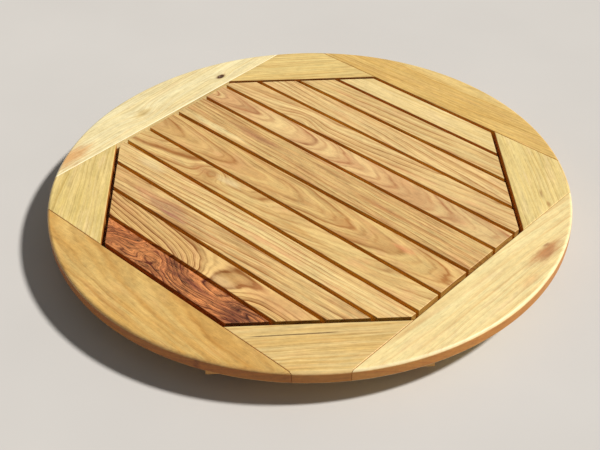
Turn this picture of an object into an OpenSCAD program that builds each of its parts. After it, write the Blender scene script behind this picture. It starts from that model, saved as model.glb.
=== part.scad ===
// Lazy susan turntable: a round slatted wooden top that spins on a ring bearing and a small base board.
// Millimetres. +X runs along the slats, +Y across them, +Z up.
// The origin is on the spin axis, at the level of the surface that the feet stand on.
// Pieces of the top are named by compass side: north is +Y and east is +X.

/* [Top] */
// Radius of the round top
top_r = 381; // [360:1:400]
// Thickness of the slats and rim pieces
top_t = 19; // [16:0.5:22]
// Radius of the rounded upper edge of the rim
rim_round_top = 5; // [3:0.5:8]
// Radius of the rounded lower edge of the rim
rim_round_bottom = 2; // [1:0.5:4]
// Bevel along the upper edges of each board
board_bevel = 1; // [0.4:0.1:1.5]

/* [Slats] */
// Width of the two middle slats
wide_slat_w = 55; // [50:0.5:58]
// Width of the ten outer slats
narrow_slat_w = 40; // [37:0.5:41]
// Open gap between neighbouring slats, and between the slats and the rim
slat_gap = 6; // [4:0.5:8]

/* [Underframe] */
// Thickness of the battens, ties and cleats
batten_t = 15; // [14:0.5:18]
// Width of the battens and ties
batten_w = 45; // [36:1:50]
// Half the length of the middle batten, which reaches under the rim
middle_batten_reach = 340; // [330:1:345]
// Half the length of the two side battens
side_batten_reach = 269; // [260:1:270]
// Half the length of a corner cleat
cleat_reach = 144; // [130:1:145]
// Distance from the spin axis to a cleat's inner edge
cleat_inner = 296; // [293:1:300]
// Distance from the spin axis to a cleat's outer edge
cleat_outer = 344; // [335:1:346]

/* [Ring bearing] */
// Height of each bearing ring
ring_h = 7.2; // [6.8:0.1:8]
// Step between the two rings, which keeps each one off the other's board
ring_step = 0.8; // [0.5:0.1:1.5]
// Radius of the circle through the ball centres
ball_circle_r = 135; // [130:0.5:140]
// Diameter of a bearing ball
ball_d = 4.76; // [4:0.01:5]
// Number of balls, with as many spacers between them
ball_count = 24; // [12:1:30]
// Width of each bearing ring
ring_w = 16.5; // [14:0.5:18]

/* [Base] */
// Radius of the base board
base_r = 200; // [175:1:230]
// Thickness of the base board
base_t = 10; // [9:0.5:14]
// Number of rubber feet
foot_count = 6; // [4:1:8]
// Radius of a rubber foot
foot_r = 16; // [13:0.5:18]
// Height of a rubber foot below the base board
foot_h = 5; // [4:0.5:8]

/* [Screws] */
// Shank diameter of the wood screws and base screws
screw_d = 4; // [3.5:0.1:4.2]
// Head diameter of the wood screws and base screws
screw_head_d = 7.6; // [7:0.1:8]

/* [Hidden] */
$fn = 96;
slack = 0.05;                 // radial room between a screw and its hole
ball_slack = 0.06;            // radial room between a ball and its race
ring_split = 0.5;             // half the open gap between the two rings
cut = 1;                      // how far a cutting solid runs past a face
base_z = foot_h;              // underside of the base board
inner_ring_z = base_z + base_t;
outer_ring_z = inner_ring_z + ring_step;
ball_z = (inner_ring_z + outer_ring_z + ring_h) / 2;
batten_z = outer_ring_z + ring_h;
top_z = batten_z + batten_t;
total_h = top_z + top_t;
slats_per_side = 6;
slat_pitch = narrow_slat_w + slat_gap;
// distance from the axis to each inner face of the rim
field_a = slat_gap / 2 + wide_slat_w + slat_gap + (slats_per_side - 1) * slat_pitch;
slat_a = field_a - slat_gap;  // the same for the outline of the slats
screw_head_h = 2.4;
screw_tip_h = 4;
screw_tip_r = 0.4;
drive_l = 4;                  // cross recess in a screw head
drive_w = 0.8;
drive_depth = 1.3;
hole_past_tip = 0.3;
ring_screw_l = 20;
batten_screw_l = 28;
base_screw_l = 16;
foot_screw_l = 11;
ring_screw_count = 6;
ring_screw_step = 10;         // from the ball circle to each ring's screws
outer_screw_turn = 30;        // brings two of the outer ring's screws under each batten
inner_screw_r = ball_circle_r - ring_screw_step;
outer_screw_r = ball_circle_r + ring_screw_step;
ring_edge = 0.6;              // bevel of the ring edges
spacer_d = 3.4;
spacer_play = 0.1;            // degrees between a spacer and a ball
foot_recess = 2;
foot_recess_r = 6;
foot_flare = 1.2;             // how much a foot narrows towards its sole
foot_turn = 30;               // keeps the feet off the base screws' lines
foot_circle_r = base_r - foot_r - 4;
base_bevel = 1.5;
side_batten_x = outer_screw_r * cos(outer_screw_turn);
batten_end_margin = 12;       // least distance from a screw to a batten's end
tie_inner = side_batten_x + batten_w / 2 + 2;
tie_outer = middle_batten_reach;
tie_screw_xs = [22, 100];     // from a tie's inner end to its screws under the slats
tie_screw_y = 14;
cleat_mid = (cleat_inner + cleat_outer) / 2;
cleat_screw_ys = [-125, -45, 45, 125];
BATTEN_COLOR = [0.80, 0.66, 0.44];
CLEAT_COLOR = [0.74, 0.56, 0.34];

// Names follow the compass, anticlockwise from east
SIDES = ["east", "northeast", "north", "northwest", "west", "southwest", "south", "southeast"];
CORNERS = [1, 3, 5, 7];
RIM_COLORS = [[0.93, 0.87, 0.62], [0.80, 0.72, 0.42], [0.85, 0.72, 0.42], [0.83, 0.68, 0.35],
              [0.86, 0.78, 0.47], [0.85, 0.77, 0.50], [0.82, 0.64, 0.34], [0.88, 0.78, 0.50]];
SLAT_COLORS = [[0.50, 0.24, 0.13], [0.80, 0.60, 0.33], [0.76, 0.60, 0.42], [0.79, 0.62, 0.42],
               [0.80, 0.62, 0.36], [0.74, 0.55, 0.34], [0.66, 0.46, 0.30], [0.82, 0.63, 0.36],
               [0.76, 0.57, 0.35], [0.77, 0.58, 0.42], [0.78, 0.62, 0.42], [0.90, 0.80, 0.58]];
BATTEN_NAMES = ["west", "middle", "east"];

function two_digits(i) = str(i < 10 ? "0" : "", i);
function rim_name(i) = str("rim_", SIDES[i]);
function slat_name(i) = str("slat_", two_digits(i + 1));
function cleat_name(i) = str("cleat_", SIDES[i]);
function batten_name(i) = str("batten_", BATTEN_NAMES[i]);

// ---- Slat layout ----

// South edge of slat i, counted from the south
function slat_south(i) = i < slats_per_side ? -slat_north(2 * slats_per_side - 1 - i)
    : i == slats_per_side ? slat_gap / 2
    : slat_gap / 2 + wide_slat_w + slat_gap + (i - slats_per_side - 1) * slat_pitch;
function slat_north(i) = i < slats_per_side ? -slat_south(2 * slats_per_side - 1 - i)
    : slat_south(i) + (i == slats_per_side ? wide_slat_w : narrow_slat_w);
function slat_mid(i) = (slat_south(i) + slat_north(i)) / 2;
// Half length of the slat field at distance y from the axis
function slat_half_length(y) = min(slat_a, slat_a * sqrt(2) - abs(y));
// Where the straight slat ends meet the sloping ones
slat_turn_y = slat_a * (sqrt(2) - 1);
function slat_east_end(i) = let (y0 = slat_south(i), y1 = slat_north(i),
                                 turns = [for (y = [-slat_turn_y, slat_turn_y]) if (y > y0 && y < y1) y])
    [for (y = concat([y0], turns, [y1])) [slat_half_length(y), y]];
function slat_outline(i) = let (e = slat_east_end(i), n = len(e))
    concat(e, [for (k = [n - 1:-1:0]) [-e[k].x, e[k].y]]);

// ---- Screw places ----

// The side battens stop short of the outermost slats' middles, so their last screws move in
function side_screw_y(i) = sign(slat_mid(i)) * min(abs(slat_mid(i)), side_batten_reach - batten_end_margin);
function batten_x(k) = (k - 1) * side_batten_x;
function batten_screw_ys(k) = k == 1
    ? concat([for (i = [0:2 * slats_per_side - 1]) slat_mid(i)], [-cleat_mid, cleat_mid])
    : [for (i = [0:2 * slats_per_side - 1]) side_screw_y(i)];
tie_screw_places = [for (x = [tie_inner + tie_screw_xs[0], tie_inner + tie_screw_xs[1], cleat_mid],
                         y = [-tie_screw_y, tie_screw_y]) [x, y]];
cleat_screw_places = [for (y = cleat_screw_ys) [cleat_mid, y]];

// ---- Shared shapes ----

// A countersunk screw pointing up, with its head's flat face at z = 0
module screw(length) {
    head_r = screw_head_d / 2;
    shank_r = screw_d / 2;
    difference() {
        union() {
            cylinder(h = screw_head_h, r1 = head_r, r2 = shank_r);
            cylinder(h = length - screw_tip_h, r = shank_r);
            translate([0, 0, length - screw_tip_h]) cylinder(h = screw_tip_h, r1 = shank_r, r2 = screw_tip_r);
        }
        for (turn = [0, 90]) rotate(turn) translate([-drive_l / 2, -drive_w / 2, -cut])
            cube([drive_l, drive_w, cut + drive_depth]);
    }
}

// The hole that a screw sits in
module screw_hole(length) {
    grow = slack;
    translate([0, 0, -cut]) cylinder(h = cut + grow, r = screw_head_d / 2 + grow);
    cylinder(h = screw_head_h + grow, r1 = screw_head_d / 2 + 2 * grow, r2 = screw_d / 2 + grow);
    cylinder(h = length + hole_past_tip, r = screw_d / 2 + grow);
}

// Repeats its children round a circle
module around(count, radius, start = 0) {
    for (i = [0:count - 1]) rotate(start + i * 360 / count) translate([radius, 0, 0]) children();
}

// Cuts a bevel along the upper edge from p to q of an anticlockwise outline
module edge_bevel(p, q, height, bevel) {
    run = q - p;
    translate([p.x, p.y, height]) rotate(atan2(run.y, run.x)) translate([-cut, 0, 0])
        rotate([90, 0, 90]) linear_extrude(norm(run) + 2 * cut)
            polygon([[bevel + cut, cut], [-cut, cut], [-cut, -bevel - cut]]);
}

// A flat board with this anticlockwise outline and bevelled upper edges
module board(outline, height, bevel) {
    n = len(outline);
    difference() {
        linear_extrude(height) polygon(outline);
        for (i = [0:n - 1]) edge_bevel(outline[i], outline[(i + 1) % n], height, bevel);
    }
}

module at_screws_of_battens() {
    for (k = [0:2], y = batten_screw_ys(k)) translate([batten_x(k), y, batten_z]) children();
    for (turn = [0, 180], p = tie_screw_places) rotate(turn) translate([p.x, p.y, batten_z]) children();
}

module at_screws_of_cleats() {
    for (i = CORNERS, p = cleat_screw_places) rotate(i * 45) translate([p.x, p.y, batten_z]) children();
}

module at_screws_of_outer_ring() {
    around(ring_screw_count, outer_screw_r, outer_screw_turn) translate([0, 0, outer_ring_z]) children();
}

module at_screws_of_base() {
    around(ring_screw_count, inner_screw_r) translate([0, 0, base_z]) children();
}

module at_feet() { around(foot_count, foot_circle_r, foot_turn) children(); }

// ---- Top ----

// The whole round top with its rounded rim, before it is cut into pieces
module round_top() {
    rotate_extrude() difference() {
        square([top_r, top_t]);
        translate([top_r - rim_round_top, top_t - rim_round_top]) difference() {
            square(rim_round_top + cut);
            circle(r = rim_round_top);
        }
        translate([top_r - rim_round_bottom, 0]) difference() {
            translate([0, -cut]) square([rim_round_bottom + cut, rim_round_bottom + cut]);
            translate([0, rim_round_bottom]) circle(r = rim_round_bottom);
        }
    }
}

// Rim piece i. The long pieces span a whole chord and the short corner pieces fit between them.
module rim_piece(i) {
    is_corner = i % 2 == 1;
    half_side = field_a * tan(22.5);
    corner_tip = field_a * sqrt(2);
    outline = is_corner
        ? [[field_a, half_side], [field_a, -half_side], [corner_tip, 0]]
        : [[field_a, top_r], [field_a, -top_r], [top_r + cut, -top_r], [top_r + cut, top_r]];
    color(RIM_COLORS[i]) translate([0, 0, top_z]) difference() {
        intersection() {
            round_top();
            rotate(i * 45) board(outline, top_t, board_bevel);
        }
        translate([0, 0, -top_z]) underframe_screw_holes();
    }
}

module slat(i) {
    color(SLAT_COLORS[i]) difference() {
        translate([0, 0, top_z]) board(slat_outline(i), top_t, board_bevel);
        underframe_screw_holes();
    }
}

module underframe_screw_holes() {
    at_screws_of_battens() screw_hole(batten_screw_l);
    at_screws_of_cleats() screw_hole(batten_screw_l);
}

// ---- Underframe ----

module batten(k) {
    reach = k == 1 ? middle_batten_reach : side_batten_reach;
    color(BATTEN_COLOR) difference() {
        translate([batten_x(k) - batten_w / 2, -reach, batten_z]) cube([batten_w, 2 * reach, batten_t]);
        at_screws_of_battens() screw_hole(batten_screw_l);
        at_screws_of_outer_ring() screw_hole(ring_screw_l);
    }
}

// A short tie from a side batten to the east or west rim piece
module tie(turn) {
    color(BATTEN_COLOR) difference() {
        rotate(turn) translate([tie_inner, -batten_w / 2, batten_z])
            cube([tie_outer - tie_inner, batten_w, batten_t]);
        at_screws_of_battens() screw_hole(batten_screw_l);
    }
}

// A cleat under corner i, which bridges both joints of the short rim piece there
module cleat(i) {
    color(CLEAT_COLOR) difference() {
        rotate(i * 45) translate([cleat_inner, -cleat_reach, batten_z])
            cube([cleat_outer - cleat_inner, 2 * cleat_reach, batten_t]);
        at_screws_of_cleats() screw_hole(batten_screw_l);
    }
}

module batten_screws() { color("silver") at_screws_of_battens() screw(batten_screw_l); }

module cleat_screws() { color("silver") at_screws_of_cleats() screw(batten_screw_l); }

// ---- Ring bearing ----

// The round groove that the balls run in, on both rings
module ball_race() {
    translate([0, 0, ball_z]) rotate_extrude()
        translate([ball_circle_r, 0]) circle(r = ball_d / 2 + ball_slack);
}

module ring(r_in, r_out, z) {
    translate([0, 0, z]) rotate_extrude()
        polygon([[r_in + ring_edge, 0], [r_out - ring_edge, 0], [r_out, ring_edge],
                 [r_out, ring_h - ring_edge], [r_out - ring_edge, ring_h],
                 [r_in + ring_edge, ring_h], [r_in, ring_h - ring_edge], [r_in, ring_edge]]);
}

module bearing_outer_ring() {
    r_in = ball_circle_r + ring_split;
    color([0.80, 0.81, 0.83]) difference() {
        ring(r_in, r_in + ring_w, outer_ring_z);
        ball_race();
        at_screws_of_outer_ring() screw_hole(ring_screw_l);
    }
}

module bearing_inner_ring() {
    r_out = ball_circle_r - ring_split;
    color([0.80, 0.81, 0.83]) difference() {
        ring(r_out - ring_w, r_out, inner_ring_z);
        ball_race();
        at_screws_of_base() cylinder(h = total_h, r = screw_d / 2 + slack);
    }
}

module bearing_balls() {
    color("silver") around(ball_count, ball_circle_r) translate([0, 0, ball_z]) sphere(d = ball_d);
}

// Short round rods, bent to the ball circle, which keep the balls apart
module bearing_spacers() {
    step = 360 / ball_count;
    start = asin(ball_d / 2 / ball_circle_r) + spacer_play;
    color([0.93, 0.93, 0.90]) translate([0, 0, ball_z]) for (i = [0:ball_count - 1])
        rotate(i * step + start) rotate_extrude(angle = step - 2 * start)
            translate([ball_circle_r, 0]) circle(d = spacer_d);
}

module ring_screws() { color("silver") at_screws_of_outer_ring() screw(ring_screw_l); }

// ---- Base ----

module base_board() {
    color([0.78, 0.62, 0.40]) difference() {
        translate([0, 0, base_z]) rotate_extrude()
            polygon([[0, 0], [base_r - base_bevel, 0], [base_r, base_bevel], [base_r, base_t - base_bevel],
                     [base_r - base_bevel, base_t], [0, base_t]]);
        at_screws_of_base() screw_hole(base_screw_l);
        at_feet() translate([0, 0, foot_recess])
            cylinder(h = foot_screw_l + hole_past_tip, r = screw_d / 2 + slack);
    }
}

module base_screws() { color("silver") at_screws_of_base() screw(base_screw_l); }

// One rubber foot, recessed below for its screw
module foot() {
    difference() {
        rotate_extrude()
            polygon([[0, 0], [foot_r - foot_flare, 0], [foot_r, foot_h / 2], [foot_r, foot_h], [0, foot_h]]);
        translate([0, 0, -cut]) cylinder(h = cut + foot_recess, r = foot_recess_r);
        translate([0, 0, foot_recess]) screw_hole(foot_screw_l);
    }
}

module rubber_feet() { color([0.12, 0.12, 0.12]) at_feet() foot(); }

module foot_screws() {
    color("silver") at_feet() translate([0, 0, foot_recess]) screw(foot_screw_l);
}

// ---- Nodes ----

for (i = [0:7]) rim_piece(i);
for (i = [0:2 * slats_per_side - 1]) slat(i);
for (i = CORNERS) cleat(i);
for (i = [0:2]) batten(i);
tie(0);  // tie_east
tie(180);  // tie_west
batten_screws();
cleat_screws();
bearing_outer_ring();
bearing_inner_ring();
bearing_balls();
bearing_spacers();
ring_screws();
base_board();
base_screws();
rubber_feet();
foot_screws();
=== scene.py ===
from math import acos, cos, degrees, hypot, radians, sin, sqrt, tan

import bmesh
import bpy
from mathutils import Matrix, Vector, noise


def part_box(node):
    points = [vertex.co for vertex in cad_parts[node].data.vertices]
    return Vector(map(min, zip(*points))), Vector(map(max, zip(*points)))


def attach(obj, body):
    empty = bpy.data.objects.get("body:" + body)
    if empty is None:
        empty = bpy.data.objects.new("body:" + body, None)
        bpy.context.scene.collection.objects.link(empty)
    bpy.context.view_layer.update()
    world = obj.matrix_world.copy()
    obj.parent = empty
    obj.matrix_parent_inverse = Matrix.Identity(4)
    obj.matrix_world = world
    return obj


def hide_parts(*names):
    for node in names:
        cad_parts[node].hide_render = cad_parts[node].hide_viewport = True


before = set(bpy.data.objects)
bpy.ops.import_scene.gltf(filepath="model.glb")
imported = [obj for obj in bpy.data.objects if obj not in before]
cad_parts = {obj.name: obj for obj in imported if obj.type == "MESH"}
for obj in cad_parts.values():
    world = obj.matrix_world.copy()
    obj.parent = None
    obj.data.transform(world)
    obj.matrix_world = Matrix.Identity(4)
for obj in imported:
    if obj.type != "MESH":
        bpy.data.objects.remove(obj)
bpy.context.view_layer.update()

MM = 0.001
COMPASS = ["east", "northeast", "north", "northwest", "west", "southwest", "south", "southeast"]
SIDE_TURN = 45            # degrees from one side of the octagon to the next
SLAT_COUNT = 12

# Sizes of the top, read from the frame
TOP_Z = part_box("rim_east")[1].z
BOARD_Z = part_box("rim_east")[0].z
MIDDLE_Z = (BOARD_Z + TOP_Z) / 2
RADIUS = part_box("rim_east")[1].x
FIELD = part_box("rim_east")[0].x
SLAT_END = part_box("slat_06")[1].x

# Edges of the boards
RIM_ROUND_TOP = 5 * MM
RIM_ROUND_BOTTOM = 2 * MM
RIM_ARRIS = 1.2 * MM
SLAT_ARRIS = 0.8 * MM
UNDER_ARRIS = 0.5 * MM
JOINT_HALF_GAP = 0.28 * MM
LONG_ARC_STEPS = 64       # on the outer edge of a long rim piece
SHORT_ARC_STEPS = 10      # and of a short one
SHARP_ANGLE = 35          # degrees
FLAT_FACE_WEIGHT = 90     # how much large faces rule the shading

# Relief of the boards' top faces
RELIEF_GRID = 8 * MM
RELIEF_REACH = 2 * MM     # how far below the top the edges still follow it
RIM_CROWN = 0.25 * MM     # above 0 the sides sink, below 0 the middle does
SLAT_CROWN = 0.22 * MM
SLAT_HOLLOW = -0.18 * MM
WAVE_DEPTH = 0.10 * MM
WAVES_PER_METRE = 14

# Small open knots in a board: x, y, radius and depth
PITS = {"rim_west": ((-314 * MM, 122 * MM, 4 * MM, 1.5 * MM),)}


def srgb(red, green, blue):
    """A colour given as it looks on screen, for a shader."""
    def linear(c):
        return c / 12.92 if c <= 0.04045 else ((c + 0.055) / 1.055) ** 2.4
    return (linear(red), linear(green), linear(blue), 1.0)


# ---------------------------------------------------------------- node trees

class Net:
    """A material's node tree, written as expressions."""

    def __init__(self, name, **shader_values):
        self.material = bpy.data.materials.new(name)
        self.material.use_nodes = True
        self.tree = self.material.node_tree
        self.tree.nodes.clear()
        self.shader = self.add("ShaderNodeBsdfPrincipled")
        output = self.add("ShaderNodeOutputMaterial")
        self.tree.links.new(self.shader.outputs["BSDF"], output.inputs["Surface"])
        self.set(**shader_values)

    def add(self, kind, *values, **settings):
        node = self.tree.nodes.new(kind)
        for key, value in settings.items():
            setattr(node, key, value)
        for socket, value in zip(node.inputs, values):
            self.feed(socket, value)
        return node

    def feed(self, socket, value):
        if isinstance(value, bpy.types.NodeSocket):
            self.tree.links.new(value, socket)
        elif value is not None:
            socket.default_value = value

    def set(self, **values):
        """Feeds the shader: names use _ for a space."""
        for key, value in values.items():
            self.feed(self.shader.inputs[key.replace("_", " ")], value)

    def math(self, operation, *values):
        return self.add("ShaderNodeMath", *values, operation=operation).outputs[0]

    def total(self, first, *rest):
        for value in rest:
            first = self.math("ADD", first, value)
        return first

    def times(self, first, *rest):
        for value in rest:
            first = self.math("MULTIPLY", first, value)
        return first

    def vector(self, operation, *values):
        return self.add("ShaderNodeVectorMath", *values, operation=operation).outputs["Vector"]

    def length(self, vector):
        return self.add("ShaderNodeVectorMath", vector, operation="LENGTH").outputs["Value"]

    def join(self, x, y, z=0.0):
        return self.add("ShaderNodeCombineXYZ", x, y, z).outputs[0]

    def split(self, vector):
        return self.add("ShaderNodeSeparateXYZ", vector).outputs[:3]

    def noise(self, where, stretch=(1, 1, 1), detail=2.0, roughness=0.5, distortion=0.0, colour=False):
        node = self.add("ShaderNodeTexNoise")
        self.feed(node.inputs["Vector"], self.vector("MULTIPLY", where, stretch))
        node.inputs["Scale"].default_value = 1.0
        node.inputs["Detail"].default_value = detail
        node.inputs["Roughness"].default_value = roughness
        node.inputs["Distortion"].default_value = distortion
        return node.outputs[1 if colour else 0]

    def sway(self, where, stretch):
        """A smooth vector noise round zero, as its three parts."""
        return self.split(self.vector("SUBTRACT", self.noise(where, stretch, colour=True), (0.5, 0.5, 0.5)))

    def vary(self, noise_value, contrast):
        """A noise round zero, scaled by a contrast."""
        return self.times(self.total(noise_value, -0.5), contrast)

    def span(self, value, low, high, to_low=0.0, to_high=1.0):
        """Maps low..high to to_low..to_high, smoothly and clamped."""
        node = self.add("ShaderNodeMapRange", interpolation_type="SMOOTHSTEP")
        for socket, given in zip(node.inputs, (value, low, high, to_low, to_high)):
            self.feed(socket, given)
        return node.outputs[0]

    def mix(self, factor, first, second, blend="MIX"):
        node = self.add("ShaderNodeMix", data_type="RGBA", blend_type=blend)
        factor_socket, first_socket, second_socket = node.inputs[0], node.inputs[6], node.inputs[7]
        self.feed(factor_socket, factor)
        self.feed(first_socket, first)
        self.feed(second_socket, second)
        return node.outputs[2]

    def tinted(self, colour, tint):
        return self.mix(1.0, colour, tint, "MULTIPLY")

    def bump(self, height_mm):
        node = self.add("ShaderNodeBump")
        node.inputs["Strength"].default_value = 1.0
        node.inputs["Distance"].default_value = MM
        self.feed(node.inputs["Height"], height_mm)
        self.set(Normal=node.outputs[0])

    def place(self, centre=(0, 0, 0), turn=0.0):
        """The point in millimetres from centre, with its first axis turned by an angle in degrees."""
        coordinates = self.add("ShaderNodeTexCoord").outputs["Object"]
        node = self.add("ShaderNodeMapping", vector_type="TEXTURE")
        self.feed(node.inputs["Vector"], coordinates)
        node.inputs["Location"].default_value = centre
        node.inputs["Rotation"].default_value = (0, 0, radians(turn))
        node.inputs["Scale"].default_value = (MM, MM, MM)
        return node.outputs[0]

    def normal(self):
        """The x, y and z of the surface's direction."""
        return self.split(self.add("ShaderNodeTexCoord").outputs["Normal"])

    def steepness(self):
        """0 on a level face, 1 on an upright one."""
        return self.math("SUBTRACT", 1.0, self.math("ABSOLUTE", self.normal()[2]))


# ---------------------------------------------------------------- wood

WOOD = dict(
    early=(0.92, 0.79, 0.54),      # colour of the pale part of a growth ring
    late=(0.66, 0.43, 0.21),       # colour of its dark part
    heart=(0.82, 0.63, 0.40),      # colour of the broad darker bands between rings
    heart_share=0.6,               # how strong they are
    blush=(0.91, 0.67, 0.49),      # colour of the pinkish patches
    blush_share=0.35,
    ring_gap=7.0,                  # distance between growth rings, mm
    ring_depth=0.7,                # how clearly the rings show
    pith=(60.0, -40.0),            # centre of the tree, mm sideways and mm up from the board's middle
    lean=(0.0, -0.05),             # how far the pith drifts sideways and up along the board
    sway=4.0,                      # how far the grain wanders, mm
    sway_length=220.0,             # over what length, mm
    fibre=0.24,                    # contrast of the fine fibres
    pores=0.35,                    # darkness of the open pores
    knots=(),                      # (along, across, size, lift, darkness): grain swept round a point
    stains=(),                     # (along, across, half length, half width, colour, strength)
    cracks=(),                     # (along, across, along, across, half width): dark hairlines
    wall=(0.97, 0.87, 0.42),       # tint of the sawn upright faces: darker oiled wood and painted shade of the gaps and shaded sides
    wall_share=0.9,
    end=(0.86, 0.85, 1.10),        # change of the wall tint on faces that look along X, such as the slat ends: more painted shade there
    outer=None,                    # wall tint of the rim's outside, where it isn't wall: a plainer colour without the painted shade
    edge=(1.0, 0.75, 0.50),        # colour of the eased edges: rubbed paler wood and a painted highlight
    edge_share=0.25,
    roughness=0.40,
    coat=0.12,
    coat_roughness=0.22,
    mottle=0.10,                   # contrast of the small cloudy figure
)
KNOT_COLOUR = (0.27, 0.13, 0.06)
CRACK_COLOUR = (0.33, 0.17, 0.07)
OIL_IOR = 1.47


def wood_net(name, centre, turn, seed, **look):
    """Oiled wood cut from a log: rings round a pith give straight, cathedral and end grain together."""
    look = {**WOOD, **look}
    net = Net(name, Coat_Weight=look["coat"], Coat_Roughness=look["coat_roughness"], IOR=OIL_IOR)
    point = net.place(centre, turn)
    along, across, up = net.split(point)
    loose = net.vector("ADD", point, (seed * 431.0, seed * 97.0, seed * 53.0))
    radius, knot_shade = log_radius(net, look, (along, across, up), loose)
    ring = growth_rings(net, look, radius, loose, seed)

    # fibres and pores, which follow the rings or the board
    streak = net.noise(net.join(net.times(along, 1 / 60), net.times(radius, 0.3), net.times(up, 0.3)),
                       detail=5.0, roughness=0.75)
    hair = net.noise(loose, (0.025, 0.8, 0.8), detail=3.0, roughness=0.8)
    pore = net.span(net.noise(loose, (0.06, 0.9, 0.9), detail=2.0), 0.56, 0.72)

    colour = ring_colours(net, look, along, radius, ring, seed)
    colour = stained(net, look, colour, along, across, loose)
    cloud = net.noise(loose, (1 / 80, 1 / 34, 1 / 34), detail=2.0)
    mottle = net.noise(loose, (1 / 12, 1 / 6, 1 / 6), detail=4.0, roughness=0.75)
    light = net.total(1.0, net.vary(streak, 3.4 * look["fibre"]), net.vary(hair, 2.2 * look["fibre"]),
                      net.vary(cloud, 0.22), net.vary(mottle, 4.0 * look["mottle"]),
                      net.times(pore, -0.5 * look["pores"]))
    colour = net.tinted(colour, light)
    if look["knots"]:
        colour = net.mix(net.math("MINIMUM", knot_shade, 0.95), colour, srgb(*KNOT_COLOUR))
    colour, dent = cracked(net, look, colour, along, across, loose)

    # sawn walls drink more oil and carry painted shade; the eased edges are rubbed paler and carry a
    # painted highlight
    steep = net.steepness()
    wall = net.span(steep, 0.45, 0.95)
    eased = net.times(net.span(steep, 0.02, 0.25), net.span(steep, 0.75, 0.5))
    # oil-darkened wood with painted shade on the upright faces
    oiled_and_shaded = net.tinted(colour, wall_oil_and_shade_tint(net, look, turn))
    colour = net.mix(net.times(wall, look["wall_share"]), colour, oiled_and_shaded)
    # paler rubbed wood with a painted highlight on the eased edges
    colour = net.mix(net.times(eased, look["edge_share"]), colour, srgb(*look["edge"]))
    rough = net.total(look["roughness"], net.times(streak, 0.10), net.times(ring, -0.06),
                      net.times(pore, 0.12), net.times(wall, 0.22))
    net.set(Base_Color=colour, Roughness=rough)
    net.bump(net.total(net.times(ring, 0.05), net.times(hair, 0.04), net.times(streak, 0.05),
                       net.times(pore, -0.1 * look["pores"]), dent))
    return net


def wood(name, centre, turn, seed, **look):
    """The material alone."""
    return wood_net(name, centre, turn, seed, **look).material


def log_radius(net, look, place, loose):
    """Distance from the pith, with the grain's wander and knots, and how dark the knots are."""
    along, across, up = place
    reach = look["sway_length"]
    _, sway_side, sway_up = net.sway(loose, (1 / reach, 4 / reach, 4 / reach))
    _, ripple_side, ripple_up = net.sway(loose, (1 / 34, 1 / 9, 1 / 9))
    wander = 2.6 * look["sway"]
    ripple = 2.0
    side = net.total(across, net.times(along, -look["lean"][0]), net.times(sway_side, wander),
                     net.times(ripple_side, ripple), -look["pith"][0])
    height = net.total(up, net.times(along, -look["lean"][1]), net.times(sway_up, wander),
                       net.times(ripple_up, ripple), -look["pith"][1])
    radius = net.length(net.join(side, height))
    knot_shade = 0.0
    for knot_along, knot_across, size, lift, darkness in look["knots"]:
        apart = net.length(net.join(net.times(net.total(along, -knot_along), 0.6),
                                    net.total(across, -knot_across)))
        swell = net.math("EXPONENT", net.times(apart, apart, -0.5 / size ** 2))
        radius = net.total(radius, net.times(swell, lift))
        core = net.math("EXPONENT", net.times(apart, apart, -4.0 / size ** 2))
        knot_shade = net.total(net.times(core, darkness), knot_shade)
    return radius, knot_shade


def growth_rings(net, look, radius, loose, seed):
    """1 in the dark part of a ring: slow to darken and quick to end, with finer rings between."""
    uneven = net.noise(net.join(net.times(radius, 0.05), seed * 3.7), detail=2.0)
    phase = net.total(net.times(radius, 1 / look["ring_gap"]), net.times(uneven, 2.5))
    part = net.math("FRACT", phase)
    year = net.noise(net.join(net.times(net.math("FLOOR", phase), 1.7), seed * 9.1))
    weight = net.span(year, 0.3, 0.7, 0.45, 1.0)
    ring = net.times(net.math("POWER", net.span(part, 0.0, 0.86), 2.6), net.span(part, 0.88, 1.0, 1.0, 0.0),
                     weight)
    between = net.span(net.math("PINGPONG", net.times(phase, 3.0), 0.5), 0.24, 0.5)
    fade = net.span(net.noise(loose, (1 / 130, 1 / 26, 1 / 26)), 0.3, 0.62, 0.35, 1.0)
    return net.times(net.total(ring, net.times(between, 0.5)), fade, look["ring_depth"])


def ring_colours(net, look, along, radius, ring, seed):
    """Pale wood with broad bands, pinkish patches and the dark part of each ring."""
    band = net.noise(net.join(net.times(along, 1 / 170), net.times(radius, 1 / 7), seed * 5.1), detail=3.0,
                     roughness=0.6)
    flush = net.noise(net.join(net.times(along, 1 / 60), net.times(radius, 1 / 8), seed * 2.3), detail=3.0,
                      roughness=0.6)
    banded = net.times(net.span(band, 0.36, 0.66), look["heart_share"])
    flushed = net.times(net.span(flush, 0.5, 0.72), look["blush_share"])
    colour = net.mix(banded, srgb(*look["early"]), srgb(*look["heart"]))
    colour = net.mix(flushed, colour, srgb(*look["blush"]))
    return net.mix(net.math("MINIMUM", ring, 1.0), colour, srgb(*look["late"]))


def stained(net, look, colour, along, across, loose):
    """Lays the board's stains over its colour, with ragged borders."""
    ragged = net.vary(net.noise(loose, (1 / 30, 1 / 8, 1 / 8), detail=4.0, roughness=0.6), 1.6)
    for stain_along, stain_across, half_length, half_width, stain, strength in look["stains"]:
        apart = net.length(net.join(net.times(net.total(along, -stain_along), 1 / half_length),
                                    net.times(net.total(across, -stain_across), 1 / half_width)))
        patch = net.span(net.total(apart, ragged), 1.25, 0.2, 0.0, strength)
        colour = net.mix(patch, colour, srgb(*stain))
    return colour


def cracked(net, look, colour, along, across, loose):
    """Draws the board's hairline cracks, and gives their depth in mm."""
    dent = 0.0
    for from_along, from_across, to_along, to_across, half_width in look["cracks"]:
        line = hairline(net, along, across, (from_along, from_across), (to_along, to_across), half_width,
                        loose)
        colour = net.mix(net.times(line, 0.75), colour, srgb(*CRACK_COLOUR))
        dent = net.total(net.times(line, -0.3), dent)
    return colour, dent


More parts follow.
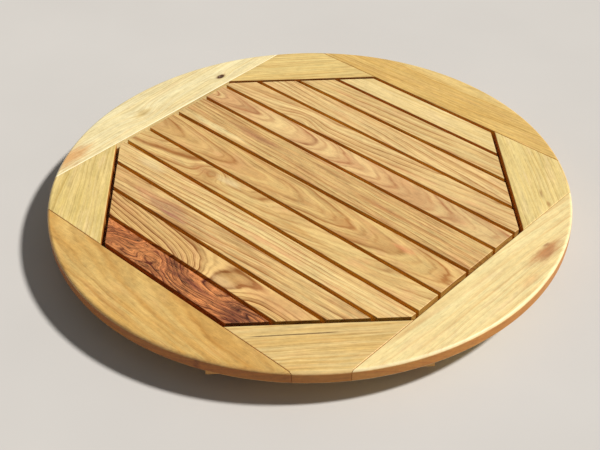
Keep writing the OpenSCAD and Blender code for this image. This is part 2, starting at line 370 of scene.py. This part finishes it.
def hairline(net, along, across, start, end, half_width, loose):
    """1 on a wandering line from start to end, fading out at both ends."""
    run = Vector(end) - Vector(start)
    unit = run.normalized()
    waver = net.vary(net.noise(loose, (1 / 22, 1 / 22, 1 / 22), detail=3.0), 2.2)
    from_along = net.total(along, -start[0])
    from_across = net.total(across, -start[1])
    forward = net.total(net.times(from_along, unit.x), net.times(from_across, unit.y))
    sideways = net.total(net.times(from_along, -unit.y), net.times(from_across, unit.x), waver)
    near = net.span(net.math("ABSOLUTE", sideways), half_width, 2.2 * half_width, 1.0, 0.0)
    inside = net.times(net.span(forward, 0.0, 0.15 * run.length),
                       net.span(forward, run.length, 0.8 * run.length))
    return net.times(near, inside)


def wall_oil_and_shade_tint(net, look, turn):
    """The tint of an upright face, by the way it looks: oil-darkened wood with painted shade, and a plainer
    tint without it on the rim's outside where one is given.
    """
    normal_x, normal_y, _ = net.normal()
    facing_x = net.span(net.math("ABSOLUTE", normal_x), 0.75, 0.95)
    end_tint = tuple(value * change for value, change in zip(look["wall"], look["end"]))
    tint = net.mix(facing_x, srgb(*look["wall"]), srgb(*end_tint))
    if look["outer"]:
        outward = net.total(net.times(normal_x, sin(radians(turn))),
                            net.times(normal_y, -cos(radians(turn))))
        tint = net.mix(net.span(outward, 0.2, 0.4), tint, srgb(*look["outer"]))
    return tint


# What each board looks like, where it differs from WOOD. Millimetres from the board's middle.
# In these looks the wall and end tints hold painted shade, and the edge colours a painted highlight.
PALE = dict(early=(0.96, 0.88, 0.62), late=(0.78, 0.63, 0.32), heart=(0.91, 0.79, 0.48), heart_share=0.5,
            blush=(0.97, 0.86, 0.66), blush_share=0.4, ring_gap=6.0, ring_depth=0.45, fibre=0.2, pores=0.3,
            mottle=0.14, wall=(0.82, 0.56, 0.20), end=(1.0, 1.0, 1.0), edge_share=0.15)
GOLD = dict(PALE, early=(0.90, 0.76, 0.45), late=(0.68, 0.48, 0.20), heart=(0.84, 0.66, 0.33),
            blush=(0.90, 0.72, 0.46), ring_depth=0.5, fibre=0.24, wall=(0.78, 0.54, 0.14))
# Plainer tint for the outsides of the rims at the back, without the painted shade.
PLAIN_WALL = (0.94, 0.88, 0.78)

BOARD_LOOKS = {
    "rim_west": dict(
        PALE, pith=(160, -60), ring_gap=5.0, lean=(0.03, 0.0), early=(0.98, 0.93, 0.74),
        heart=(0.94, 0.85, 0.60), wall=(1.0, 0.98, 0.90), edge=(1.0, 0.97, 0.86), edge_share=0.7,
        knots=((-122, 23, 7, 9, 2.6), (37, 13, 13, 14, 0.25)),
        stains=((204, 18, 60, 24, (0.86, 0.60, 0.34), 0.7), (-122, 23, 9, 6, (0.78, 0.52, 0.26), 0.7),
                (40, 10, 22, 9, (0.88, 0.75, 0.46), 0.6))),
    "rim_northwest": dict(
        GOLD, pith=(120, -90), ring_gap=5.0, early=(0.94, 0.84, 0.56), heart=(0.87, 0.72, 0.42),
        wall=(0.96, 0.68, 0.16), outer=PLAIN_WALL),
    "rim_north": dict(
        GOLD, pith=(-110, -50), lean=(0.04, 0.0), ring_gap=5.0, early=(0.91, 0.77, 0.47),
        wall=(1.0, 0.93, 0.42), outer=PLAIN_WALL,
        stains=((0, -28, 300, 13, (0.95, 0.85, 0.58), 0.55),)),
    "rim_northeast": dict(
        PALE, pith=(-90, -40), lean=(0.05, 0.02), early=(0.94, 0.85, 0.58), late=(0.72, 0.56, 0.28),
        outer=PLAIN_WALL,
        stains=((-40, -11, 14, 3, (0.62, 0.38, 0.18), 0.6), (-66, -17, 9, 3, (0.62, 0.38, 0.18), 0.6))),
    "rim_east": dict(
        PALE, pith=(60, -55), ring_gap=7.0, lean=(0.02, 0.05), early=(0.97, 0.90, 0.66),
        late=(0.84, 0.64, 0.38), heart=(0.95, 0.82, 0.55), ring_depth=0.4, fibre=0.13, pores=0.15,
        wall=(0.77, 0.52, 0.16), edge=(1.0, 0.93, 0.76), edge_share=0.5, roughness=0.5, coat=0.25,
        coat_roughness=0.36,
        stains=((103, -6, 40, 12, (0.74, 0.48, 0.29), 0.85), (37, -24, 26, 7, (0.92, 0.72, 0.48), 0.5),
                (117, 2, 9, 3, (0.58, 0.33, 0.20), 0.6))),
    "rim_southeast": dict(
        GOLD, pith=(100, -60), early=(0.91, 0.80, 0.55), late=(0.74, 0.56, 0.31),
        cracks=((-94, 9, 36, 13, 0.55),)),
    "rim_south": dict(
        GOLD, pith=(60, -150), ring_gap=8.0, mottle=0.16, lean=(0.02, 0.05), early=(0.86, 0.72, 0.44),
        late=(0.72, 0.49, 0.20), heart=(0.82, 0.61, 0.29),
        stains=((139, -20, 7, 5, (0.52, 0.31, 0.14), 0.7),)),
    "rim_southwest": dict(
        PALE, pith=(-90, -70), early=(0.93, 0.83, 0.56), late=(0.74, 0.60, 0.30), heart=(0.86, 0.76, 0.43)),
    "slat_01": dict(
        early=(0.87, 0.57, 0.34), late=(0.38, 0.16, 0.09), heart=(0.66, 0.37, 0.20),
        blush=(0.60, 0.30, 0.24), ring_gap=3.4, ring_depth=1.0, pith=(25, -30), lean=(0.06, -0.03),
        sway=8, sway_length=110,
        fibre=0.9, pores=1.9, mottle=0.3, edge_share=0.15, roughness=0.52, coat=0.0,
        knots=((-48, 8, 20, 24, 0.05), (-110, -6, 10, 12, 0.1)),
        stains=((30, 3, 55, 6, (0.40, 0.18, 0.15), 0.7), (118, 0, 34, 24, (0.36, 0.17, 0.13), 0.7),
                (-10, 14, 50, 5, (0.45, 0.20, 0.14), 0.5))),
    "slat_02": dict(
        ring_gap=6.5, ring_depth=1.2, pith=(30, -18), lean=(-0.12, 0.0), late=(0.58, 0.36, 0.16),
        early=(0.94, 0.79, 0.52), heart=(0.88, 0.69, 0.43), knots=((52, -36, 26, -34, 0.0),),
        stains=((60, -12, 26, 9, (0.93, 0.78, 0.56), 0.7), (130, 4, 60, 14, (0.86, 0.62, 0.42), 0.4))),
    "slat_03": dict(
        ring_gap=8.0, pith=(50, -30), lean=(0.05, -0.02), fibre=0.4,
        stains=((-120, 0, 75, 14, (0.74, 0.52, 0.40), 0.55), (-95, -9, 34, 5, (0.66, 0.42, 0.38), 0.5),
                (30, 8, 50, 4, (0.70, 0.54, 0.32), 0.5), (150, 0, 70, 16, (0.90, 0.78, 0.52), 0.6))),
    "slat_04": dict(
        ring_gap=5.0, pith=(-45, -20), lean=(0.05, -0.01), early=(0.97, 0.86, 0.60),
        heart=(0.89, 0.71, 0.45), blush_share=0.5,
        stains=((-212, 6, 34, 9, (0.94, 0.86, 0.66), 0.5), (60, -8, 80, 5, (0.90, 0.66, 0.46), 0.5))),
    "slat_05": dict(
        ring_gap=9.0, pith=(30, -50), lean=(0.02, -0.08), early=(0.94, 0.82, 0.55),
        heart=(0.84, 0.66, 0.41), knots=((-128, 9, 11, 14, 0.15),),
        stains=((-145, 5, 32, 12, (0.76, 0.52, 0.33), 0.5), (-92, 9, 26, 7, (0.95, 0.86, 0.66), 0.6),
                (60, -6, 80, 6, (0.78, 0.58, 0.32), 0.5))),
    "slat_06": dict(
        pith=(-3, -38), lean=(0.01, -0.06), heart_share=0.7, early=(0.91, 0.77, 0.50),
        stains=((90, -4, 90, 9, (0.74, 0.52, 0.30), 0.45), (200, 8, 22, 6, (0.90, 0.58, 0.40), 0.6))),
    "slat_07": dict(
        ring_gap=6.0, ring_depth=0.6, fibre=0.34, pith=(-60, -30), heart_share=0.75, pores=0.6,
        early=(0.91, 0.78, 0.52),
        stains=((-215, -18, 70, 7, (0.94, 0.85, 0.62), 0.8), (-140, 6, 60, 8, (0.66, 0.44, 0.30), 0.6),
                (10, 13, 55, 5, (0.62, 0.42, 0.24), 0.6), (110, -2, 60, 6, (0.70, 0.48, 0.28), 0.5))),
    "slat_08": dict(
        ring_gap=8.6, ring_depth=0.8, pith=(-2, -30), lean=(0.0, -0.09), heart_share=0.7,
        early=(0.96, 0.83, 0.58), heart=(0.80, 0.58, 0.39), late=(0.68, 0.44, 0.27)),
    "slat_09": dict(
        pith=(30, -40), lean=(0.03, -0.04), early=(0.95, 0.83, 0.58), heart=(0.85, 0.66, 0.42),
        knots=((-124, -13, 14, 12, 0.05),)),
    "slat_10": dict(ring_gap=6.0, pith=(-40, -50), early=(0.96, 0.84, 0.59), heart=(0.88, 0.70, 0.45)),
    "slat_11": dict(ring_gap=6.0, pith=(50, -40), early=(0.93, 0.82, 0.57), heart=(0.86, 0.69, 0.43)),
    "slat_12": dict(
        PALE, pith=(90, -60), early=(0.95, 0.85, 0.61), heart=(0.91, 0.78, 0.51), edge_share=0.3),
}


# ---------------------------------------------------------------- boards

def rounding(drop, radius):
    """How far a rounded edge is drawn in at a height this far below the top of its curve."""
    if drop >= radius:
        return 0.0
    return radius - sqrt(max(0.0, radius ** 2 - (radius - drop) ** 2))


def offset_outline(outline, insets):
    """The corners of an anticlockwise convex outline after each side moves in by its inset."""
    moved = []
    count = len(outline)
    for i in range(count):
        here = Vector(outline[i])
        before = (here - Vector(outline[i - 1])).normalized()
        after = (Vector(outline[(i + 1) % count]) - here).normalized()
        start = here + Vector((-before.y, before.x)) * insets[i - 1]
        goal = here + Vector((-after.y, after.x)) * insets[i]
        turn = before.cross(after)
        step = (goal - start).cross(after) / turn if abs(turn) > 1e-6 else 0.0
        moved.append(start + before * step)
    return moved


def edge_heights(radii):
    """Heights of the loops that a board's rounded edges need, from bottom to top."""
    steps = [0.0, 0.06, 0.2, 0.42, 0.7, 1.0]
    heights = {BOARD_Z + RIM_ROUND_BOTTOM * step for step in steps}
    for radius in radii:
        heights |= {TOP_Z - radius * step for step in steps}
    return sorted(heights)


def board_mesh(name, outline, arc_sides, arris, gap, crown, seed, pits=()):
    """A board with eased edges. Sides in arc_sides carry the rim's big rounding."""
    heights = edge_heights([arris, RIM_ROUND_TOP] if arc_sides else [arris])
    mesh = bmesh.new()
    loops = []
    for z in heights:
        arc_inset = rounding(TOP_Z - z, RIM_ROUND_TOP) + rounding(z - BOARD_Z, RIM_ROUND_BOTTOM)
        flat_inset = rounding(TOP_Z - z, arris) + rounding(z - BOARD_Z, UNDER_ARRIS) + gap
        insets = [arc_inset if i in arc_sides else flat_inset for i in range(len(outline))]
        loops.append([mesh.verts.new((p.x, p.y, z)) for p in offset_outline(outline, insets)])
    for lower, upper in zip(loops, loops[1:]):
        for i in range(len(outline)):
            j = (i + 1) % len(outline)
            mesh.faces.new((lower[i], lower[j], upper[j], upper[i]))
    mesh.faces.new(list(reversed(loops[0])))
    mesh.faces.new(loops[-1])
    slice_top(mesh, outline, pits)
    sink_top(mesh, outline, crown, seed, pits)
    data = bpy.data.meshes.new(name)
    mesh.to_mesh(data)
    mesh.free()
    data.shade_smooth()
    data.set_sharp_from_angle(angle=radians(SHARP_ANGLE))
    piece = bpy.data.objects.new(name, data)
    bpy.context.scene.collection.objects.link(piece)
    weigh = piece.modifiers.new("face normals", "WEIGHTED_NORMAL")
    weigh.keep_sharp = True
    weigh.weight = FLAT_FACE_WEIGHT
    return piece


def outline_box(outline):
    """Lowest and highest x, then lowest and highest y."""
    xs = [p[0] for p in outline]
    ys = [p[1] for p in outline]
    return (min(xs), max(xs)), (min(ys), max(ys))


def slice_mesh(mesh, faces, axis, place):
    """Cuts faces along the upright plane at a place on an axis, without removing anything."""
    edges = {e for f in faces for e in f.edges}
    verts = {v for f in faces for v in f.verts}
    point = Vector((0, 0, 0))
    point[axis] = place
    normal = Vector((0, 0, 0))
    normal[axis] = 1
    bmesh.ops.bisect_plane(mesh, geom=list(verts) + list(edges) + list(faces), dist=1e-7,
                           plane_co=point, plane_no=normal)


def slice_top(mesh, outline, pits):
    """Divides the top face and its edges into a grid, finer round the pits."""
    for axis, (low, high) in enumerate(outline_box(outline)):
        count = max(2, round((high - low) / RELIEF_GRID))
        for i in range(1, count):
            tops = [f for f in mesh.faces if f.calc_center_median().z > TOP_Z - RIM_ROUND_TOP]
            slice_mesh(mesh, tops, axis, low + (high - low) * i / count)
    mesh.normal_update()
    for px, py, radius, _ in pits:
        for axis in (0, 1):
            for i in range(-4, 5):
                near = [f for f in mesh.faces if f.normal.z > 0.99
                        and hypot(f.calc_center_median().x - px, f.calc_center_median().y - py)
                        < RELIEF_GRID + radius]
                slice_mesh(mesh, near, axis, (px, py)[axis] + radius * i / 3)


def sink_top(mesh, outline, crown, seed, pits):
    """Gives the top face the slight crown or hollow, waves and pits of real planed wood."""
    spans = outline_box(outline)
    lengths = [high - low for low, high in spans]
    across_axis = 0 if lengths[0] < lengths[1] else 1
    centre = Vector([sum(span) / 2 for span in spans])
    half = lengths[across_axis] / 2
    for vert in mesh.verts:
        if vert.co.z < TOP_Z - RELIEF_REACH:
            continue
        apart = abs(vert.co[across_axis] - centre[across_axis]) / half
        bend = apart ** 2 if crown > 0 else 1 - apart ** 2
        wave = 0.5 + 0.5 * noise.noise(Vector((vert.co.x * WAVES_PER_METRE, vert.co.y * WAVES_PER_METRE,
                                               seed * 1.7)))
        sink = abs(crown) * min(1.0, bend) + WAVE_DEPTH * wave
        for px, py, radius, depth in pits:
            near = hypot(vert.co.x - px, vert.co.y - py) / radius
            sink += depth * max(0.0, 1 - near) ** 0.7
        vert.co.z -= sink
    mesh.normal_update()


def rotated(points, angle):
    c, s = cos(radians(angle)), sin(radians(angle))
    return [(x * c - y * s, x * s + y * c) for x, y in points]


def arc(start, end, steps):
    """Points on the rim's outer edge, angles in degrees."""
    turns = [radians(start + (end - start) * i / steps) for i in range(steps + 1)]
    return [(RADIUS * cos(t), RADIUS * sin(t)) for t in turns]


def rim_outline(index):
    """The outline of a rim piece, anticlockwise, and which of its sides are the outer arc."""
    half = degrees(acos(FIELD / RADIUS))
    if index % 2 == 0:
        points = arc(-half, half, LONG_ARC_STEPS)
        return rotated(points, index * SIDE_TURN), set(range(LONG_ARC_STEPS))
    half = SIDE_TURN - half
    corner = FIELD * tan(radians(SIDE_TURN / 2))
    points = arc(-half, half, SHORT_ARC_STEPS) + [(FIELD, corner), (FIELD, -corner)]
    return rotated(points, index * SIDE_TURN), set(range(SHORT_ARC_STEPS))


def slat_outline(low_y, high_y):
    """The outline of a slat between two values of y, clipped by the octagon."""
    reach = SLAT_END * sqrt(2)
    turn = reach - SLAT_END
    levels = [low_y] + [y for y in (-turn, turn) if low_y < y < high_y] + [high_y]
    east = [(min(SLAT_END, reach - abs(y)), y) for y in levels]
    return east + [(-x, y) for x, y in reversed(east)]


def finish_board(piece, node, material):
    piece.data.materials.append(material)
    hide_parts(node)
    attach(piece, "turntable")


def make_rim():
    for i, side in enumerate(COMPASS):
        node = "rim_" + side
        seed = 20 + i
        angle = SIDE_TURN * i
        outline, arc_sides = rim_outline(i)
        piece = board_mesh(node + "_board", outline, arc_sides, RIM_ARRIS, JOINT_HALF_GAP,
                           RIM_CROWN if i % 3 else -RIM_CROWN, seed, PITS.get(node, ()))
        depth = (FIELD + RADIUS) / 2 if i % 2 == 0 else FIELD + 30 * MM
        centre = (depth * cos(radians(angle)), depth * sin(radians(angle)), MIDDLE_Z)
        finish_board(piece, node, wood(node + " wood", centre, angle + 90, seed, **BOARD_LOOKS[node]))


def make_slats():
    for i in range(SLAT_COUNT):
        node = f"slat_{i + 1:02d}"
        low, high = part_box(node)
        piece = board_mesh(node + "_board", slat_outline(low.y, high.y), set(), SLAT_ARRIS, 0.0,
                           SLAT_CROWN if i % 2 else SLAT_HOLLOW, i)
        centre = (0, (low.y + high.y) / 2, MIDDLE_Z)
        finish_board(piece, node, wood(node + " wood", centre, 0, i + 1, **BOARD_LOOKS[node]))


# ---------------------------------------------------------------- underframe, bearing and base

def dress(node, material, bevel=0.0, weld=False):
    """Gives a CAD node its finish. Faces are joined before a bevel, or to drop the ones with no area."""
    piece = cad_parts[node]
    piece.data.materials.clear()
    piece.data.materials.append(material)
    if bevel or weld:
        join = piece.modifiers.new("joined faces", "WELD")
        join.merge_threshold = 0.002 * MM
    if bevel:
        ease = piece.modifiers.new("eased edges", "BEVEL")
        ease.width = bevel
        ease.segments = 2
        ease.limit_method = "ANGLE"
        ease.angle_limit = radians(50)
        weigh = piece.modifiers.new("face normals", "WEIGHTED_NORMAL")
        weigh.weight = FLAT_FACE_WEIGHT


def middle(node):
    low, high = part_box(node)
    return tuple((low + high) / 2)


def plywood(name, centre):
    """Rotary-cut veneer with its plies showing on the edge."""
    net = wood_net(name, centre, 0, 61, early=(0.86, 0.70, 0.47), late=(0.76, 0.56, 0.34), ring_gap=9.0,
                   ring_depth=0.55, pith=(0, -40), lean=(0.0, 0.03), sway=14, wall_share=0.3, coat=0.05,
                   roughness=0.5)
    faces = net.shader.inputs["Base Color"].links[0].from_socket
    ply_pair = 4.0                 # thickness of a pale ply and a dark one, mm
    up = net.split(net.place(centre))[2]
    ply = net.math("FRACT", net.times(up, 1 / ply_pair))
    dark = net.span(net.math("PINGPONG", ply, 0.5), 0.22, 0.28)
    banded = net.mix(dark, srgb(0.80, 0.63, 0.40), srgb(0.52, 0.34, 0.19))
    edge = net.span(net.steepness(), 0.5, 0.9)
    net.set(Base_Color=net.mix(edge, faces, banded))
    return net.material


def turned_metal(name, colour, roughness, groove):
    """Metal with fine lathe marks round the spin axis and small handling scratches."""
    net = Net(name, Metallic=1.0)
    point = net.place()
    x, y, z = net.split(point)
    marks = net.noise(net.join(net.length(net.join(x, y)), 0.0, z), (6.0, 1, 6.0), detail=3.0)
    scratch = net.span(net.noise(point, (0.05, 1.6, 0.4), detail=3.0), 0.62, 0.70)
    blotch = net.noise(point, (0.05, 0.05, 0.2), detail=3.0)
    shade = net.total(0.88, net.times(blotch, 0.16), net.times(marks, 0.08))
    net.set(Base_Color=net.tinted(srgb(*colour), shade),
            Roughness=net.total(roughness, net.times(marks, 0.16), net.times(scratch, 0.15),
                                net.times(blotch, 0.08)))
    net.bump(net.total(net.times(marks, groove), net.times(scratch, -0.01)))
    return net.material


def plated_steel(name, colour, roughness):
    """Zinc plate: a slightly mottled, cloudy metal."""
    net = Net(name, Metallic=1.0)
    point = net.place()
    spangle = net.noise(point, (0.9, 0.9, 0.9), detail=3.0, distortion=0.6)
    grime = net.span(net.noise(point, (0.3, 0.3, 0.3), detail=4.0), 0.5, 0.8)
    bright = net.mix(net.times(spangle, 0.5), srgb(*colour), srgb(0.86, 0.86, 0.83))
    net.set(Base_Color=net.mix(net.times(grime, 0.5), bright, srgb(0.42, 0.40, 0.36)),
            Roughness=net.total(roughness, net.times(spangle, 0.18), net.times(grime, 0.2)))
    net.bump(net.times(spangle, 0.015))
    return net.material


def nylon(name):
    """Moulded nylon, slightly translucent, with faint flow marks."""
    net = Net(name, Roughness=0.42, Subsurface_Weight=0.12, Subsurface_Scale=1.5 * MM)
    point = net.place()
    flow = net.noise(point, (0.25, 0.25, 0.5), detail=3.0)
    net.set(Base_Color=net.mix(flow, srgb(0.90, 0.89, 0.83), srgb(0.96, 0.96, 0.93)))
    net.bump(net.times(net.noise(point, (2.5, 2.5, 2.5), detail=2.0), 0.01))
    return net.material


def rubber(name):
    """Matt moulded rubber with dust on its upright faces."""
    net = Net(name, IOR=1.52)
    point = net.place()
    grain = net.noise(point, (3.0, 3.0, 3.0), detail=3.0)
    dust = net.times(net.span(net.noise(point, (0.22, 0.22, 0.35), detail=4.0), 0.45, 0.75),
                     net.span(net.steepness(), 0.2, 0.9, 0.25, 0.8))
    net.set(Base_Color=net.mix(net.times(dust, 0.35), srgb(0.13, 0.13, 0.13), srgb(0.42, 0.39, 0.35)),
            Roughness=net.total(0.72, net.times(grain, 0.14)))
    net.bump(net.times(grain, 0.05))
    return net.material


def dress_frame():
    """The battens, ties and cleats under the top."""
    batten = dict(early=(0.87, 0.74, 0.52), late=(0.76, 0.57, 0.35), ring_gap=3.5, ring_depth=0.5,
                  coat=0.0, roughness=0.55, wall_share=0.3)
    cleat = dict(early=(0.84, 0.66, 0.40), late=(0.68, 0.47, 0.25), ring_gap=3.0, ring_depth=0.5,
                 coat=0.05, roughness=0.5, wall_share=0.3)
    for i, name in enumerate(("west", "middle", "east")):
        node = "batten_" + name
        dress(node, wood(node + " wood", middle(node), 90, 31 + i, pith=(50 + 30 * i, -30), **batten))
    for i, name in enumerate(("east", "west")):
        node = "tie_" + name
        dress(node, wood(node + " wood", middle(node), 0, 36 + i, pith=(-60, -30), **batten))
    for i in (1, 3, 5, 7):
        node = "cleat_" + COMPASS[i]
        dress(node, wood(node + " wood", middle(node), SIDE_TURN * i + 90, 41 + i, pith=(-50, -40 - 5 * i),
                         **cleat))


def dress_base():
    """The base board with its feet, the bearing and all screws."""
    dress("base_board", plywood("base plywood", middle("base_board")))
    screw_steel = plated_steel("screw steel", (0.72, 0.72, 0.70), 0.30)
    for node in ("batten_screws", "cleat_screws", "ring_screws", "base_screws", "foot_screws"):
        dress(node, screw_steel)
    dress("bearing_outer_ring", turned_metal("outer ring aluminium", (0.80, 0.81, 0.83), 0.26, 0.02))
    dress("bearing_inner_ring", turned_metal("inner ring aluminium", (0.78, 0.79, 0.81), 0.28, 0.02))
    dress("bearing_balls", turned_metal("ball steel", (0.76, 0.77, 0.79), 0.08, 0.002), weld=True)
    dress("bearing_spacers", nylon("spacer nylon"))
    dress("rubber_feet", rubber("foot rubber"), bevel=0.4 * MM)


# ---------------------------------------------------------------- stage

CAMERA_TURN = 43.73       # degrees round from looking along +Y
CAMERA_RISE = 38.95       # degrees above level
CAMERA_ROLL = -1.1
CAMERA_DISTANCE = 1.601
CAMERA_LENS = 68.3
CAMERA_AIM = Vector((0.0554, -0.0788, TOP_Z))
SUN_FROM = Vector((0.484, 0.458, 0.745))
SUN_STRENGTH = 3.9
SUN_WIDTH = 6             # degrees
SUN_COLOUR = (1.0, 0.965, 0.91)
SKY_COLOUR = (0.98, 0.96, 0.92, 1)
SKY_STRENGTH = 0.16
FLOOR_HALF = 6.0


def make_camera():
    data = bpy.data.cameras.new("camera")
    data.lens = CAMERA_LENS
    data.sensor_width = 36
    data.clip_end = 50
    camera = bpy.data.objects.new("camera", data)
    turn = (Matrix.Rotation(radians(CAMERA_TURN), 4, "Z")
            @ Matrix.Rotation(radians(90 - CAMERA_RISE), 4, "X")
            @ Matrix.Rotation(radians(CAMERA_ROLL), 4, "Z"))
    back = (turn @ Vector((0, 0, 1, 0))).to_3d()
    camera.matrix_world = Matrix.Translation(CAMERA_AIM + back * CAMERA_DISTANCE) @ turn
    bpy.context.scene.collection.objects.link(camera)
    bpy.context.scene.camera = camera


def make_light():
    scene = bpy.context.scene
    sun = bpy.data.lights.new("key", "SUN")
    sun.energy = SUN_STRENGTH
    sun.angle = radians(SUN_WIDTH)
    sun.color = SUN_COLOUR
    key = bpy.data.objects.new("key", sun)
    key.rotation_euler = SUN_FROM.to_track_quat("Z", "Y").to_euler()
    scene.collection.objects.link(key)
    world = bpy.data.worlds.new("studio")
    world.use_nodes = True
    background = world.node_tree.nodes["Background"]
    background.inputs["Color"].default_value = SKY_COLOUR
    background.inputs["Strength"].default_value = SKY_STRENGTH
    scene.world = world
    scene.view_settings.view_transform = "Standard"
    scene.view_settings.look = "None"
    scene.view_settings.exposure = 0.0


def make_floor():
    corners = [(-FLOOR_HALF, -FLOOR_HALF, 0), (FLOOR_HALF, -FLOOR_HALF, 0), (FLOOR_HALF, FLOOR_HALF, 0),
               (-FLOOR_HALF, FLOOR_HALF, 0)]
    mesh = bpy.data.meshes.new("floor")
    mesh.from_pydata(corners, [], [(0, 1, 2, 3)])
    floor = bpy.data.objects.new("floor", mesh)
    net = Net("floor", Roughness=0.85)
    cloud = net.noise(net.place(), (1 / 300, 1 / 300, 1), detail=3.0)
    net.set(Base_Color=net.mix(cloud, srgb(0.80, 0.79, 0.78), srgb(0.84, 0.83, 0.82)))
    mesh.materials.append(net.material)
    bpy.context.scene.collection.objects.link(floor)


make_camera()
make_light()
make_floor()
make_rim()
make_slats()
dress_frame()
dress_base()
